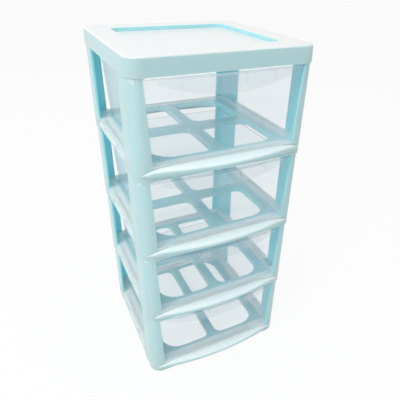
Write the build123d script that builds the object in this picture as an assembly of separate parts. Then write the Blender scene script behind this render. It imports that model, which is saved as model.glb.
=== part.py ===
"""Small free-standing drawer tower: four stacked plastic frames, each holding one clear drawer, and a
cover on top.

Millimetres. X runs across the front, Y runs from the front to the back, Z is up. The origin is the
middle of the footprint, on the surface that the tower stands on.
"""
import os
from math import pi, sin, sqrt

from build123d import *

# ---- tower ----
tier_count = 4
tier_pitch = 90.0            # height of one frame, from its base to the base of the next
frame_width = 180.0          # across a frame's base, without the bulge of its side rails
frame_depth = 174.0          # front to back, without the bulge of its rails
corner_radius = 14.0         # outer corner of a frame's base
wall = 2.4                   # moulded wall of a frame
joint_overhang = 1.3         # how far a base stands out past the post tops under it
spigot_height = 6.0          # tongue on a post top that stands inside the base above
spigot_clearance = 0.3

# ---- corner posts ----
post_front_foot = 16.5       # width of a post's front leg at the shelf
post_front_head = 13.0       # and at its top
post_side_width = 32.0       # width of a post's side leg

# ---- shelf and rails ----
shelf_height = 14.0          # top of the shelf above the frame's base
shelf_thickness = 2.4
shelf_rib = 11.0             # ribs of the cross between the four openings
side_strip = 24.0            # shelf left beside the openings
front_strip = 15.0
back_strip = 12.0
opening_outer_radius = 22.0  # the corner of an opening that lies at a corner post
opening_radius = 10.0        # its other corners
skirt_depth = 4.0            # thin wall that hangs around each opening
skirt_wall = 1.6
bar_bow = 10.0               # how far the front bar bulges forward
bar_root = 4.0               # how far the bar's round nose reaches in behind the frame's front
bar_lift = 2.0               # lower edge of the front bar above the frame's base
rail_bulge = 1.0             # how far a side or back rail bulges outward
rail_root = 7.0              # how far a rail's round nose reaches in from the frame's face
rail_arch = 4.0              # rise of the lower edge of a side or back rail at its middle
bar_tip_inset = 5.0          # from the frame's corner to the pointed end of the front bar
rail_tip_inset = 18.0        # and of a side or back rail
tip_drop = 8.0               # those pointed ends lie this far under the top of the shelf
tip_sharpness = 12           # how late a rail narrows into its point
tip_end = 0.985              # share of the way to the point at which the solid ends

# ---- drawers ----
drawer_clearance = 0.6       # between a drawer and the post at each side of it
drawer_running_gap = 0.3     # between a drawer's foot and the shelf
drawer_head_gap = 1.6        # between a drawer's rim and the base above
drawer_front_inset = 0.4     # drawer front behind the front faces of the posts
drawer_back_gap = 6.0        # behind a drawer, to the face of the back posts' inner side
drawer_back_draft = 4.0      # how much shorter a drawer is at its floor
drawer_wall = 1.6
drawer_floor = 1.8
drawer_foot = 1.2            # low rim around the underside of the floor
drawer_foot_width = 5.0
drawer_back_radius = 10.0
drawer_front_radius = 2.5
least_radius = 0.6           # smallest radius inside a moulded corner
lip_bow = 6.0                # how far the pull lip bulges forward at the middle
lip_drop = 15.5              # depth of the lip at the middle
lip_wall = 1.4
lip_side_inset = 2.0         # from the drawer's side to the end of the lip
gusset_count = 4
gusset_height = 9.0
gusset_wall = 1.2

# ---- top cover ----
cover_height = 15.5
cover_draft = 1.0            # how much the cover narrows from its lower edge to its top, each side
cover_edge_radius = 2.0
tray_inset = 25.0            # from the cover's side to the shallow tray in its top
tray_depth = 4.0
tray_radius = 9.0

# ---- values that follow from those above ----
total_depth = frame_depth + bar_bow + rail_bulge
front_y = -total_depth / 2 + bar_bow
back_y = front_y + frame_depth
middle_y = (front_y + back_y) / 2
half_width = frame_width / 2
drawer_foot_level = shelf_height + drawer_running_gap
drawer_rim_level = tier_pitch - drawer_head_gap


def slab(width, depth, radius, low, high):
    """Upright block with rounded corners, centred on the frame."""
    face = Pos(0, middle_y, low) * RectangleRounded(width, depth, radius)
    return extrude(face, high - low)


def tapered_block(inset_low, inset_high, low, high):
    """Block with rounded corners whose faces lie inset_low inside the base outline at its bottom
    and inset_high inside it at its top."""
    faces = []
    for inset, level in ((inset_low, low), (inset_high, high)):
        outline = RectangleRounded(
            frame_width - 2 * inset, frame_depth - 2 * inset, corner_radius - inset)
        faces.append(Pos(0, middle_y, level) * outline)
    return loft(faces, ruled=True)


def half_gap(height):
    """Half the space between the two front posts, at a height above the frame's base."""
    slope = (post_front_foot - post_front_head) / (tier_pitch - shelf_height)
    return half_width - post_front_foot + slope * (height - shelf_height)


def front_window(top):
    """Space between the two front posts, wider at its top, as a block through the front wall."""
    foot = half_gap(shelf_height)
    head = half_gap(top)
    outline = Polyline(
        (-foot, shelf_height), (foot, shelf_height), (head, top), (-head, top), close=True)
    block = extrude(Plane.XZ * make_face(outline), 2 * wall, both=True)
    return Pos(0, front_y + wall, 0) * block


def back_window(top):
    """Space between the two back posts, down through the back wall."""
    block = Box(frame_width - 2 * post_front_foot, 4 * wall, top + 2 * wall)
    return Pos(0, back_y - wall, top / 2) * block


def side_windows(top):
    """Spaces between the front and the back posts, through both side walls."""
    block = Box(frame_width + 4 * wall, frame_depth - 2 * post_side_width, top + 2 * wall)
    return Pos(0, middle_y, top / 2) * block


def corner_posts():
    """Four hollow corner posts of L section that taper upward, with the tongue on each post top."""
    outer = tapered_block(0, joint_overhang, 0, tier_pitch)
    inner = tapered_block(wall, joint_overhang + wall, 0, tier_pitch)
    tongue_outer = wall + spigot_clearance
    tongue_inner = joint_overhang + wall
    top = tier_pitch + spigot_height
    tongue = tapered_block(tongue_outer, tongue_outer, tier_pitch, top)
    tongue -= tapered_block(tongue_inner, tongue_inner, tier_pitch, top)
    return (outer - inner) + tongue - front_window(top) - back_window(top) - side_windows(top)


def opening_outline(side, end):
    """One of the four openings of the shelf: a rectangle with its corner at the post rounded wide.
    side is -1 or 1 for left or right, and end is -1 or 1 for front or back."""
    near = shelf_rib / 2
    far_x = half_width - side_strip
    far_y = frame_depth / 2 - (front_strip if end < 0 else back_strip)
    middle = Pos((near + far_x) / 2, (near + far_y) / 2)
    face = middle * Rectangle(far_x - near, far_y - near)
    corners = face.vertices().sort_by(lambda corner: corner.X + corner.Y)
    face = fillet(corners[:3], opening_radius)
    last = face.vertices().sort_by(lambda corner: corner.X + corner.Y)[-1:]
    face = fillet(last, opening_outer_radius)
    if side < 0:
        face = face.mirror(Plane.YZ)
    if end < 0:
        face = face.mirror(Plane.XZ)
    return Pos(0, middle_y, 0) * face


def shelf():
    """Flat shelf with a cross of ribs between four rounded openings, each with a hanging skirt."""
    low = shelf_height - shelf_thickness
    skirt_low = low - skirt_depth
    body = slab(
        frame_width - wall, frame_depth - wall, corner_radius - wall / 2, low, shelf_height)
    openings = [opening_outline(side, end) for side in (-1, 1) for end in (-1, 1)]
    for opening in openings:
        collar = Pos(0, 0, skirt_low) * offset(opening, skirt_wall)
        body += extrude(collar, shelf_height - skirt_low)
    for opening in openings:
        body -= extrude(Pos(0, 0, skirt_low) * opening, shelf_height - skirt_low)
    return body


def corner_setback(along, half_face):
    """How far the rounded corner of a face of this half length has turned back at `along`."""
    past = max(abs(along) - (half_face - corner_radius), 0)
    return corner_radius - sqrt(corner_radius ** 2 - past ** 2)


def nose_section(along, reach, root, low, high):
    """Half-round section of a rail at the distance `along` from its middle, across the rail. Its
    flat side lies at y = root, and its nose reaches forward from there."""
    nose = EllipticalCenterArc(
        (0, (low + high) / 2), reach, (high - low) / 2, start_angle=-90, arc_size=180)
    face = make_face([nose, Line((0, low), (0, high))])
    return Plane(origin=(along, root, 0), x_dir=(0, -1, 0), z_dir=(-1, 0, 0)) * face


def leaf_rail(half_face, tip_inset, bulge, root, lift, arch):
    """Rounded rail along a face of the frame, which narrows into a point at both ends. The face is
    the plane y = 0, the nose bulges toward -Y, and the lower edge lies `lift` above the frame's base
    and may rise from there in an arch."""
    half_length = half_face - tip_inset
    steps = 6
    sections = []
    for step in range(-steps, steps + 1):
        share = sin(pi / 2 * step / steps) * tip_end
        along = share * half_length
        narrowing = abs(share) ** tip_sharpness
        lower_edge = lift + arch * (1 - share ** 2)
        low = lower_edge + (shelf_height - tip_drop - lower_edge) * narrowing
        high = shelf_height - tip_drop * narrowing
        reach = root + bulge * (1 - share ** 2) - corner_setback(along, half_face)
        sections.append(nose_section(along, reach, root, low, high))
    return loft(sections)


def rails():
    """Front bar and the side and back rails, on the faces of a frame's base."""
    half_depth = frame_depth / 2
    front = leaf_rail(half_width, bar_tip_inset, bar_bow, bar_root, bar_lift, 0)
    side = leaf_rail(half_depth, rail_tip_inset, rail_bulge, rail_root, 0, rail_arch)
    back = leaf_rail(half_width, bar_tip_inset, rail_bulge, rail_root, 0, rail_arch)
    return [
        Pos(0, front_y, 0) * front,
        Pos(-half_width, middle_y, 0) * Rot(0, 0, -90) * side,
        Pos(half_width, middle_y, 0) * Rot(0, 0, 90) * side,
        Pos(0, back_y, 0) * Rot(0, 0, 180) * back,
    ]


def front_wall():
    """Upright wall behind the front bar, which joins the two front posts under the shelf."""
    block = Box(frame_width - 2 * corner_radius, wall, shelf_height)
    return Pos(0, front_y + wall / 2, shelf_height / 2) * block


def socket():
    """Groove inside a frame's base, around its underside, that takes the post tongues below it."""
    depth = spigot_height + spigot_clearance
    inset = joint_overhang + wall + spigot_clearance
    return tapered_block(wall, wall, 0, depth) - tapered_block(inset, inset, 0, depth)


def tier_frame():
    """One frame of the stack: posts, shelf, bar and rails in a single moulding, with its base at
    z = 0."""
    body = corner_posts() + shelf() + front_wall()
    for rail in rails():
        body += rail
    body -= socket()
    return split(body, Plane.XY, keep=Keep.TOP)


def drawer_outline(inset, height):
    """Outline of a drawer at a height above the frame's base, inset inside its outer faces. The
    drawer narrows downward as the space between the posts does, and it is shorter at its floor."""
    half = half_gap(height) - drawer_clearance - inset
    front = front_y + drawer_front_inset + inset
    fall = (drawer_rim_level - height) / (drawer_rim_level - drawer_foot_level)
    back_face = back_y - wall - joint_overhang - drawer_back_gap
    back = back_face - drawer_back_draft * fall - inset
    face = Pos(0, (front + back) / 2) * Rectangle(2 * half, back - front)
    front_radius = max(drawer_front_radius - inset, least_radius)
    back_radius = max(drawer_back_radius - inset, least_radius)
    face = fillet(face.vertices().sort_by(Axis.Y)[:2], front_radius)
    return fillet(face.vertices().sort_by(Axis.Y)[-2:], back_radius)


def drawer_block(inset, low, high):
    """Block of the drawer's shape between two heights above the frame's base."""
    faces = [Pos(0, 0, level) * drawer_outline(inset, level) for level in (low, high)]
    return loft(faces, ruled=True)


def bowed_block(half_chord, bow, face_y, low, high):
    """Upright block between the plane y = face_y and an arc that bulges forward of it."""
    arc = ThreePointArc((-half_chord, face_y), (0, face_y - bow), (half_chord, face_y))
    chord = Line((half_chord, face_y), (-half_chord, face_y))
    return extrude(Pos(0, 0, low) * make_face([arc, chord]), high - low)


def pull_lip():
    """Hooded lip on the drawer's front: a bowed flange at the rim with an apron whose lower edge
    hangs in a shallow curve, and small gussets behind the apron."""
    rim = drawer_rim_level
    face_y = front_y + drawer_front_inset
    half_chord = half_gap(rim) - drawer_clearance - lip_side_inset
    radius = (half_chord ** 2 + lip_bow ** 2) / (2 * lip_bow)
    inner_chord = sqrt((radius - lip_wall) ** 2 - (radius - lip_bow) ** 2)
    hood = bowed_block(half_chord, lip_bow, face_y, rim - lip_drop, rim)
    lip = hood - bowed_block(inner_chord, lip_bow - lip_wall, face_y, rim - lip_drop, rim - lip_wall)
    pitch = 2 * half_chord / (gusset_count + 1)
    for number in range(gusset_count):
        x = (number + 1) * pitch - half_chord
        gusset = Pos(x, face_y - lip_bow / 2, rim - gusset_height / 2) * Box(
            gusset_wall, lip_bow, gusset_height)
        lip += gusset & hood
    corner = rim - lip_wall
    curve = ThreePointArc((-half_chord, corner), (0, rim - lip_drop), (half_chord, corner))
    top = Polyline(
        (half_chord, corner), (half_chord, rim), (-half_chord, rim), (-half_chord, corner))
    kept = extrude(Plane.XZ * make_face([curve, top]), 2 * lip_bow, both=True)
    return lip & (Pos(0, face_y, 0) * kept)


def drawer():
    """Clear open tub that runs on the shelf between the posts, with a pull lip along its front.
    Heights are counted from the base of its frame."""
    floor_top = drawer_foot_level + drawer_foot + drawer_floor
    body = drawer_block(0, drawer_foot_level, drawer_rim_level)
    body -= drawer_block(drawer_wall, floor_top, drawer_rim_level)
    body -= drawer_block(drawer_foot_width, drawer_foot_level, drawer_foot_level + drawer_foot)
    return body + pull_lip()


def top_cover():
    """Cover with a hanging rim, a softly rounded top edge and a shallow tray in its top, with its
    lower edge at z = 0."""
    outer = tapered_block(0, cover_draft, 0, cover_height)
    outer = fillet(outer.faces().sort_by(Axis.Z)[-1].edges(), cover_edge_radius)
    width = frame_width - 2 * tray_inset
    length = frame_depth - 2 * tray_inset
    floor = cover_height - tray_depth
    tray = slab(width, length, tray_radius, floor, cover_height)
    tray_shell = slab(
        width + 2 * wall, length + 2 * wall, tray_radius + wall, floor - wall, cover_height)
    cavity = tapered_block(wall, wall, 0, cover_height - wall) - tray_shell
    return outer - cavity - tray


os.makedirs("parts", exist_ok=True)
frame_part = tier_frame()
drawer_part = drawer()
for tier in range(tier_count):
    base_of_tier = Pos(0, 0, tier * tier_pitch)
    export_step(base_of_tier * frame_part, f"parts/tier_frame_{tier + 1}.step")
    export_step(base_of_tier * drawer_part, f"parts/drawer_{tier + 1}.step")
export_step(Pos(0, 0, tier_count * tier_pitch) * top_cover(), "parts/top_cover.step")
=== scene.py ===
from math import cos, pi, radians, sin, sqrt

import bmesh
import bpy
from mathutils import Matrix, Vector


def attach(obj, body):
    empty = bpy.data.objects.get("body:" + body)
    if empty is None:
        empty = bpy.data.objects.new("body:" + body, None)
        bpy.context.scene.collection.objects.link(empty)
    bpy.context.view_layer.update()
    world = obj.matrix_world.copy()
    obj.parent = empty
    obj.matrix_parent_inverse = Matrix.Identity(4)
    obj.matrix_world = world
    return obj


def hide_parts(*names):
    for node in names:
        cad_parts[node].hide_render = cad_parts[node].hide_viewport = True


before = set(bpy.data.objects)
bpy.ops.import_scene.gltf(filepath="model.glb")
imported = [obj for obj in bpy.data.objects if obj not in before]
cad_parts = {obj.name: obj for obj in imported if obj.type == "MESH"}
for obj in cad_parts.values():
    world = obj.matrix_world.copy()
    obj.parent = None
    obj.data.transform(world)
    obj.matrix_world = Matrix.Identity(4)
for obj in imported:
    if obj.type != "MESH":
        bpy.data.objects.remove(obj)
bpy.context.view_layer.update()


# Frames of the stack. Each is one moulding in pale aqua polypropylene: a shelf with four openings and
# four hollow corner posts, which stands on the post tops of the frame below. The front bar and the
# rails are cut off here, just in front of the frame's faces, and made again in the next section.
TIER_COUNT = 4
HALF_WIDTH = 0.09
FRONT_Y = -0.0825
BACK_Y = 0.0915
MIDDLE_Y = (FRONT_Y + BACK_Y) / 2
DRAWER_HALF_WIDTH = 0.0735
PROUD = 0.00005              # how far the cuts lie in front of the frame's faces
MERGE_DISTANCE = 0.00002
FLAT_ANGLE = radians(0.6)    # faces that meet at less than this become one
SHARP_ANGLE = radians(28)
EDGE_SEGMENTS = 2
AREA_WEIGHT = 100            # large faces alone decide which way a corner is shaded


def finished_copy(node, name, material, edge=0, cuts=()):
    """The moulding of a CAD node in this material. Its sharp edges are kept crisp where edge is 0 and
    otherwise eased by up to edge: the clamp narrows every bevel to what the smallest faces of the
    mesh leave room for. What lies outside a plane in cuts is left to another piece."""
    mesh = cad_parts[node].data.copy()
    mesh.name = name
    made = bpy.data.objects.new(name, mesh)
    bpy.context.scene.collection.objects.link(made)
    shape = bmesh.new()
    shape.from_mesh(mesh)
    bmesh.ops.remove_doubles(shape, verts=shape.verts, dist=MERGE_DISTANCE)
    bmesh.ops.dissolve_limit(shape, angle_limit=FLAT_ANGLE, verts=shape.verts, edges=shape.edges)
    for place, facing in cuts:
        everything = shape.verts[:] + shape.edges[:] + shape.faces[:]
        bmesh.ops.bisect_plane(
            shape, geom=everything, plane_co=place, plane_no=facing, clear_outer=True)
        close_holes(shape)
    shape.to_mesh(mesh)
    shape.free()
    for face in mesh.polygons:
        face.use_smooth = True
    if edge:
        rounding = made.modifiers.new("eased edges", "BEVEL")
        rounding.width = edge
        rounding.segments = EDGE_SEGMENTS
        rounding.limit_method = "ANGLE"
        rounding.angle_limit = SHARP_ANGLE
        rounding.use_clamp_overlap = True
    else:
        mesh.set_sharp_from_angle(angle=SHARP_ANGLE)
    flattening = made.modifiers.new("flat faces stay flat", "WEIGHTED_NORMAL")
    flattening.mode = "FACE_AREA"
    flattening.weight = AREA_WEIGHT
    flattening.keep_sharp = True
    mesh.materials.clear()
    mesh.materials.append(material)
    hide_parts(node)
    return made


def close_holes(shape):
    """Fills the open edges of a mesh and returns those edges."""
    rim = [line for line in shape.edges if line.is_boundary]
    bmesh.ops.holes_fill(shape, edges=rim, sides=0)
    return rim


class Shade:
    """A socket of a material's node tree, which takes part in Python expressions."""

    def __init__(self, tree, socket=None):
        self.tree = tree
        self.socket = socket

    def node(self, kind, settings=None, sockets=None, output=0):
        made = self.tree.nodes.new(kind)
        for key, value in (settings or {}).items():
            setattr(made, key, value)
        for key, value in (sockets or {}).items():
            if isinstance(value, Shade):
                self.tree.links.new(value.socket, made.inputs[key])
            else:
                made.inputs[key].default_value = value
        return Shade(self.tree, made.outputs[output])

    def maths(self, operation, *values):
        return self.node("ShaderNodeMath", {"operation": operation}, dict(enumerate(values)))

    def __add__(self, other):
        return self.maths("ADD", self, other)

    def __sub__(self, other):
        return self.maths("SUBTRACT", self, other)

    def __rsub__(self, other):
        return self.maths("SUBTRACT", other, self)

    def __mul__(self, other):
        return self.maths("MULTIPLY", self, other)

    __radd__ = __add__
    __rmul__ = __mul__

    def vector_maths(self, operation, *values, output="Vector"):
        return self.node(
            "ShaderNodeVectorMath", {"operation": operation}, dict(enumerate(values)), output)

    def part(self, axis):
        """X, Y or Z of the vector that this gives."""
        return self.node("ShaderNodeSeparateXYZ", sockets={"Vector": self}, output=axis)

    def noise(self, scale, detail, roughness=0.5):
        """Noise at the place that this gives."""
        return self.node("ShaderNodeTexNoise", sockets={
            "Vector": self, "Scale": scale, "Detail": detail, "Roughness": roughness})

    def between(self, low, high):
        """0 below low, 1 above high, and smooth in between."""
        return self.node(
            "ShaderNodeMapRange", {"interpolation_type": "SMOOTHSTEP"},
            {"Value": self, "From Min": low, "From Max": high})

    def blend(self, first, second):
        """The colour first where this is 0 and second where it is 1."""
        return self.node(
            "ShaderNodeMix", {"data_type": "RGBA"}, {0: self, 6: first, 7: second}, output=2)

    def blend_surfaces(self, first, second):
        """The surface first where this is 0 and second where it is 1."""
        return self.node("ShaderNodeMixShader", sockets={0: self, 1: first, 2: second})


def new_material(name):
    material = bpy.data.materials.new(name)
    material.use_nodes = True
    material.node_tree.nodes.clear()
    return material, Shade(material.node_tree)


def finish_nodes(shade, kind, surface):
    """Joins the surface to the node tree's output, which is of this kind."""
    output = shade.tree.nodes.new(kind)
    shade.tree.links.new(surface.socket, output.inputs["Surface"])


def colour(red, green, blue):
    """A colour written as it looks on screen, from 0 to 255, as linear values."""
    values = []
    for part in (red, green, blue):
        share = part / 255
        values.append(share / 12.92 if share <= 0.04045 else ((share + 0.055) / 1.055) ** 2.4)
    return (*values, 1)


OUTER_AQUA = colour(183, 211, 213)
# Painted highlight: the pale colour given to faces that look up beside the drawers.
PAINTED_LIT_AQUA = colour(236, 249, 251)
# Painted shade: the deeper aqua of faces turned into the mouldings; flow marks and cloudy tone also
# blend towards it.
DEEP_AQUA_SHADE_AND_STREAKS = colour(166, 231, 243)
FADE_WIDTH = 0.004           # over which the painted highlight on the shelf beside the drawers fades in
CLOUD_SHARE = 0.08
STREAK_SHARE = 0.10
STREAK_STRETCH = (1.0, 1.0, 0.06)


def aqua_plastic(name, painted_lit, deep_shade_and_streaks, half_inside):
    """Satin polypropylene with painted light and shade: beyond half_inside, faces that look up are
    painted pale as a highlight from light above, and faces turned into the mouldings are painted a
    deeper aqua as shade. Flow marks and a faint cloudy tone also blend towards the deeper aqua, and
    there is a faint grain and a few scuffs."""
    material, shade = new_material(name)
    place = shade.node("ShaderNodeTexCoord", output="Object")
    normal = shade.node("ShaderNodeNewGeometry", output="Normal")
    across = shade.maths("ABSOLUTE", place.part("X"))
    along = shade.maths("ABSOLUTE", place.part("Y") - MIDDLE_Y)
    beside = shade.maths("MAXIMUM", across, along).between(half_inside, half_inside + FADE_WIDTH)
    # Painted highlight: faces that look up, beyond half_inside, get the pale colour.
    painted_top_light = normal.part("Z").between(0.2, 0.8) * beside
    flat_place = shade.vector_maths("MULTIPLY", place, (1, 1, 0))
    outward = shade.vector_maths("NORMALIZE", flat_place)
    facing = shade.vector_maths("DOT_PRODUCT", normal, outward, output="Value")
    # Painted shade: faces turned into the mouldings get the deeper aqua.
    painted_inward_shade = 1 - (facing + painted_top_light).between(-0.35, 0.25)
    # The colour with its painted highlight and painted shade.
    with_painted_light_and_shade = painted_inward_shade.blend(painted_top_light.blend(OUTER_AQUA, painted_lit), deep_shade_and_streaks)
    cloud = place.noise(scale=14, detail=3).between(0.35, 0.7) * CLOUD_SHARE
    stretched = shade.vector_maths("MULTIPLY", place, STREAK_STRETCH)
    streaks = stretched.noise(scale=130, detail=2).between(0.45, 0.75) * STREAK_SHARE
    grain = place.noise(scale=900, detail=2)
    scuffs = place.noise(scale=60, detail=6, roughness=0.7)
    bump = shade.node(
        "ShaderNodeBump", sockets={"Strength": 0.06, "Distance": 0.0006, "Height": grain})
    surface = shade.node(
        "ShaderNodeBsdfPrincipled",
        sockets={
            "Base Color": (cloud + streaks).blend(with_painted_light_and_shade, deep_shade_and_streaks),
            "Roughness": 0.24 + 0.12 * scuffs,
            "IOR": 1.5,
            "Normal": bump,
            "Subsurface Weight": 0.6,
            "Subsurface Radius": (0.8, 1.4, 1.6),
            "Subsurface Scale": 0.004,
        })
    finish_nodes(shade, "ShaderNodeOutputMaterial", surface)
    return material


frame_plastic = aqua_plastic("frame plastic", PAINTED_LIT_AQUA, DEEP_AQUA_SHADE_AND_STREAKS, DRAWER_HALF_WIDTH)
rail_planes = [
    ((0, FRONT_Y - PROUD, 0), (0, -1, 0)),
    ((0, BACK_Y + PROUD, 0), (0, 1, 0)),
    ((-HALF_WIDTH - PROUD, 0, 0), (-1, 0, 0)),
    ((HALF_WIDTH + PROUD, 0, 0), (1, 0, 0)),
]
for number in range(1, TIER_COUNT + 1):
    node = f"tier_frame_{number}"
    piece = finished_copy(node, "moulded_" + node, frame_plastic, cuts=rail_planes)
    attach(piece, "tower")


# Rails of each frame, part of the same moulding: the bowed bar under the drawer and a flatter rail
# on the other three sides, each a smooth half round that narrows into a point at both ends.
TIER_PITCH = 0.09
SHELF_HEIGHT = 0.014
HALF_DEPTH = (BACK_Y - FRONT_Y) / 2
CORNER_RADIUS = 0.014
TIP_HEIGHT = 0.006           # of a rail's points, above the frame's base
TIP_SHARPNESS = 12           # how late a rail narrows into its points
RAIL_SKIN = 0.0001           # how far a rail stands out above and below what it covers
RAIL_STEPS_ALONG = 96
RAIL_STEPS_ROUND = 16
SAME_POINT = 0.000001
QUAD_CORNERS = 4
FRONT_BAR = {"tip_inset": 0.005, "bulge": 0.010, "root": 0.004, "lift": 0.002, "arch": 0}
SIDE_RAIL = {"tip_inset": 0.018, "bulge": 0.0009, "root": 0.007, "lift": 0, "arch": 0.004}
BACK_RAIL = {"tip_inset": 0.005, "bulge": 0.0009, "root": 0.007, "lift": 0, "arch": 0.004}


def leaf_rail(shape, half_face, form, turn, place):
    """One rail, turned by `turn` about Z and moved to its face of the frame. Its form gives how far
    its tips stay from the corners, how far its middle stands out and its body goes in, and how
    high its lower edge lies at the ends and how much higher in the middle."""
    made = bmesh.ops.create_grid(
        shape, x_segments=RAIL_STEPS_ALONG, y_segments=RAIL_STEPS_ROUND, size=1)["verts"]
    for vertex in made:
        share = sin(pi / 2 * vertex.co.x)
        swing = pi / 2 * vertex.co.y
        along = share * (half_face - form["tip_inset"])
        narrowing = abs(share) ** TIP_SHARPNESS
        skin = RAIL_SKIN * (1 - narrowing)
        lower_edge = form["lift"] + form["arch"] * (1 - share ** 2)
        low = lower_edge + (TIP_HEIGHT - lower_edge) * narrowing - skin
        high = SHELF_HEIGHT + (TIP_HEIGHT - SHELF_HEIGHT) * narrowing + skin
        past = max(abs(along) - (half_face - CORNER_RADIUS), 0)
        setback = CORNER_RADIUS - sqrt(CORNER_RADIUS ** 2 - past ** 2)
        reach = form["root"] + form["bulge"] * (1 - share ** 2) - setback + PROUD
        height = (low + high) / 2 + (high - low) / 2 * sin(swing)
        vertex.co = (along, form["root"] - reach * cos(swing), height)
    bmesh.ops.remove_doubles(shape, verts=made, dist=SAME_POINT)
    for line in close_holes(shape):
        line.smooth = False
    fresh = [vertex for vertex in shape.verts if not vertex.tag]
    bmesh.ops.rotate(shape, verts=fresh, cent=(0, 0, 0), matrix=Matrix.Rotation(turn, 3, "Z"))
    bmesh.ops.translate(shape, verts=fresh, vec=place)
    for vertex in fresh:
        vertex.tag = True


for tier in range(TIER_COUNT):
    base = tier * TIER_PITCH
    shape = bmesh.new()
    leaf_rail(shape, HALF_WIDTH, FRONT_BAR, 0, (0, FRONT_Y, base))
    leaf_rail(shape, HALF_DEPTH, SIDE_RAIL, -pi / 2, (-HALF_WIDTH, MIDDLE_Y, base))
    leaf_rail(shape, HALF_DEPTH, SIDE_RAIL, pi / 2, (HALF_WIDTH, MIDDLE_Y, base))
    leaf_rail(shape, HALF_WIDTH, BACK_RAIL, pi, (0, BACK_Y, base))
    bmesh.ops.recalc_face_normals(shape, faces=shape.faces)
    name = f"rails_{tier + 1}"
    rails_mesh = bpy.data.meshes.new(name)
    shape.to_mesh(rails_mesh)
    shape.free()
    for face in rails_mesh.polygons:
        face.use_smooth = len(face.vertices) <= QUAD_CORNERS
    rails = bpy.data.objects.new(name, rails_mesh)
    bpy.context.scene.collection.objects.link(rails)
    rails_mesh.materials.append(frame_plastic)
    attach(rails, "tower")


# Top cover, moulded in the same plastic: a hanging rim, a softly rounded edge and a shallow tray.
# It sits on the post tops of the uppermost frame. Its upper faces are all painted pale as a highlight
# from above, and its inward faces, such as the tray's walls, are painted a deeper aqua as shade.
COVER_EDGE = 0.0008          # asked for; the clamp leaves 0.00018
# Painted highlight on all the cover's upper faces.
COVER_PAINTED_LIT = colour(230, 231, 230)
# Painted shade on the cover's inward faces, such as the tray's walls; flow marks blend towards it
# too.
COVER_DEEP_SHADE_AND_STREAKS = colour(176, 226, 234)
cover_plastic = aqua_plastic("cover plastic", COVER_PAINTED_LIT, COVER_DEEP_SHADE_AND_STREAKS, half_inside=-FADE_WIDTH)
cover = finished_copy("top_cover", "moulded_top_cover", cover_plastic, COVER_EDGE)
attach(cover, "tower")


# Drawers: open tubs of clear polystyrene, 1.6 mm thick, which run on the shelves. A hooded lip with
# small gussets behind it lets a finger pull them.
DRAWER_EDGE = 0.0003         # asked for; the clamp leaves 0.00001, so the edges stay crisp
DRAWER_FACE_Y = -0.0821
LIP_GAP = 0.0004             # the lip's haze begins this far in front of the drawer's face
RIM_HEIGHT = 0.0884          # of a drawer's rim, above the base of its frame
RIM_FADE = 0.0006
EDGE_DEPTH = 0.0012
HAZE = {"all over": 0.03, "marks": 0.05, "lip": 0.12, "rim": 0.22, "glare": 0.4}


def ray_is(shade, *kinds):
    """1 for a ray of one of these kinds, else 0."""
    found = 0
    for kind in kinds:
        ray = shade.node("ShaderNodeLightPath", output=f"Is {kind} Ray")
        found = shade.maths("MAXIMUM", found, ray)
    return found


def clear_plastic(name):
    """Clear polystyrene: light goes straight through it, its faces mirror a little, and it has a
    faint milky haze with fine handling marks. The lip, in front of the drawer's face, and the
    drawer's rim are hazier."""
    material, shade = new_material(name)
    place = shade.node("ShaderNodeTexCoord", output="Object")
    on_lip = 1 - place.part("Y").between(DRAWER_FACE_Y - EDGE_DEPTH, DRAWER_FACE_Y - LIP_GAP)
    height = shade.maths("MODULO", place.part("Z"), TIER_PITCH)
    on_rim = height.between(RIM_HEIGHT - EDGE_DEPTH, RIM_HEIGHT - RIM_FADE)
    marks = place.noise(scale=45, detail=5)
    film = shade.node("ShaderNodeBsdfTransparent", sockets={"Color": (0.972, 0.984, 0.988, 1)})
    mirror = shade.node(
        "ShaderNodeBsdfAnisotropic",
        sockets={"Color": (1, 1, 1, 1), "Roughness": 0.04 + 0.06 * marks})
    haze = shade.node(
        "ShaderNodeBsdfPrincipled",
        sockets={"Base Color": colour(206, 217, 226), "Roughness": 0.35})
    entering = 1 - shade.node("ShaderNodeNewGeometry", output="Backfacing")
    glare = shade.node("ShaderNodeFresnel", sockets={"IOR": 1.45})
    milky = (
        HAZE["all over"] + HAZE["marks"] * marks + HAZE["lip"] * on_lip + HAZE["rim"] * on_rim
        + HAZE["glare"] * glare)
    thin = (glare * entering).blend_surfaces(film, mirror)
    seen = (milky * entering).blend_surfaces(thin, haze)
    surface = ray_is(shade, "Shadow", "Diffuse").blend_surfaces(seen, film)
    finish_nodes(shade, "ShaderNodeOutputMaterial", surface)
    return material


drawer_plastic = clear_plastic("drawer plastic")
for number in range(1, TIER_COUNT + 1):
    node = f"drawer_{number}"
    piece = finished_copy(node, "clear_" + node, drawer_plastic, DRAWER_EDGE)
    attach(piece, node + "_body")


# The pale floor that the tower stands on. It and the room are white to whatever the camera sees
# directly, in a reflection or through clear plastic, and light the tower at their own strength.
FLOOR_SIZE = 6.0
FLOOR_WHITE_SHARE = 0.9      # the rest shows the floor's own surface, which takes the shadow
ROOM_STRENGTH = 0.6
SEEN_STRENGTH = 1.0
WHITE = (1, 1, 1, 1)
SEEN_RAYS = ("Camera", "Glossy", "Transmission")
floor_mesh = bmesh.new()
bmesh.ops.create_grid(floor_mesh, x_segments=1, y_segments=1, size=FLOOR_SIZE)
floor_data = bpy.data.meshes.new("floor")
floor_mesh.to_mesh(floor_data)
floor_mesh.free()
floor = bpy.data.objects.new("floor", floor_data)
bpy.context.scene.collection.objects.link(floor)
floor_material, shade = new_material("pale floor")
matte = shade.node(
    "ShaderNodeBsdfPrincipled",
    sockets={"Base Color": colour(244, 244, 244), "Roughness": 0.9, "Specular IOR Level": 0.1})
white = shade.node(
    "ShaderNodeEmission", sockets={"Color": WHITE, "Strength": SEEN_STRENGTH})
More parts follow.
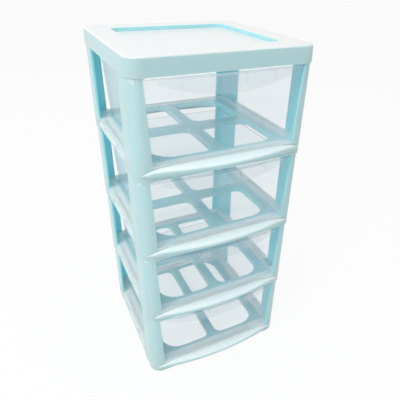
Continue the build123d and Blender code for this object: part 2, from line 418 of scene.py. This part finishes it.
surface = (ray_is(shade, *SEEN_RAYS) * FLOOR_WHITE_SHARE).blend_surfaces(matte, white)
finish_nodes(shade, "ShaderNodeOutputMaterial", surface)
floor_data.materials.append(floor_material)

world = bpy.data.worlds.new("studio")
bpy.context.scene.world = world
world.use_nodes = True
world.node_tree.nodes.clear()
shade = Shade(world.node_tree)
room = shade.node("ShaderNodeBackground", sockets={"Color": WHITE, "Strength": ROOM_STRENGTH})
seen = shade.node("ShaderNodeBackground", sockets={"Color": WHITE, "Strength": SEEN_STRENGTH})
surface = ray_is(shade, *SEEN_RAYS).blend_surfaces(room, seen)
finish_nodes(shade, "ShaderNodeOutputWorld", surface)


# Plain soft studio light: a large lamp overhead and another from the left, both aimed at the tower.
LIGHT_TARGET = Vector((0, 0, 0.2))


def soft_light(name, place, size, power):
    lamp = bpy.data.lights.new(name, "AREA")
    lamp.shape = "SQUARE"
    lamp.size = size
    lamp.energy = power
    made = bpy.data.objects.new(name, lamp)
    made.location = place
    made.rotation_mode = "QUATERNION"
    made.rotation_quaternion = (LIGHT_TARGET - Vector(place)).to_track_quat("-Z", "Y")
    bpy.context.scene.collection.objects.link(made)


soft_light("overhead", (-0.3, -0.4, 1.9), size=1.2, power=9)
soft_light("from the left", (-1.5, -0.6, 1.3), size=1.0, power=14)


# The photograph's viewpoint: about half a metre away, from the front left and well above.
CAMERA_PLACE = Vector((-0.1631, -0.3734, 0.4354))
CAMERA_AZIMUTH = radians(-26.6)
CAMERA_ELEVATION = radians(33.3)
CAMERA_ROLL = radians(1.55)
CAMERA_LENS = 34.6           # in mm, as the sensor's width is
SENSOR_WIDTH = 36
CAMERA_SHIFT = (-0.024, 0.035)
LIGHT_BOUNCES = 24           # a line of sight meets many clear walls
CLEAR_WALL_LIMIT = 32
camera_data = bpy.data.cameras.new("camera")
camera_data.lens = CAMERA_LENS
camera_data.sensor_width = SENSOR_WIDTH
camera_data.shift_x, camera_data.shift_y = CAMERA_SHIFT
camera = bpy.data.objects.new("camera", camera_data)
back = Vector((
    sin(CAMERA_AZIMUTH) * cos(CAMERA_ELEVATION),
    -cos(CAMERA_AZIMUTH) * cos(CAMERA_ELEVATION),
    sin(CAMERA_ELEVATION)))
camera.location = CAMERA_PLACE
camera.rotation_mode = "QUATERNION"
camera.rotation_quaternion = (-back).to_track_quat("-Z", "Y") @ Matrix.Rotation(
    CAMERA_ROLL, 3, "Z").to_quaternion()
bpy.context.scene.collection.objects.link(camera)
bpy.context.scene.camera = camera
bpy.context.scene.view_settings.view_transform = "Standard"
bpy.context.scene.cycles.max_bounces = LIGHT_BOUNCES
bpy.context.scene.cycles.transmission_bounces = LIGHT_BOUNCES
bpy.context.scene.cycles.transparent_max_bounces = CLEAR_WALL_LIMIT
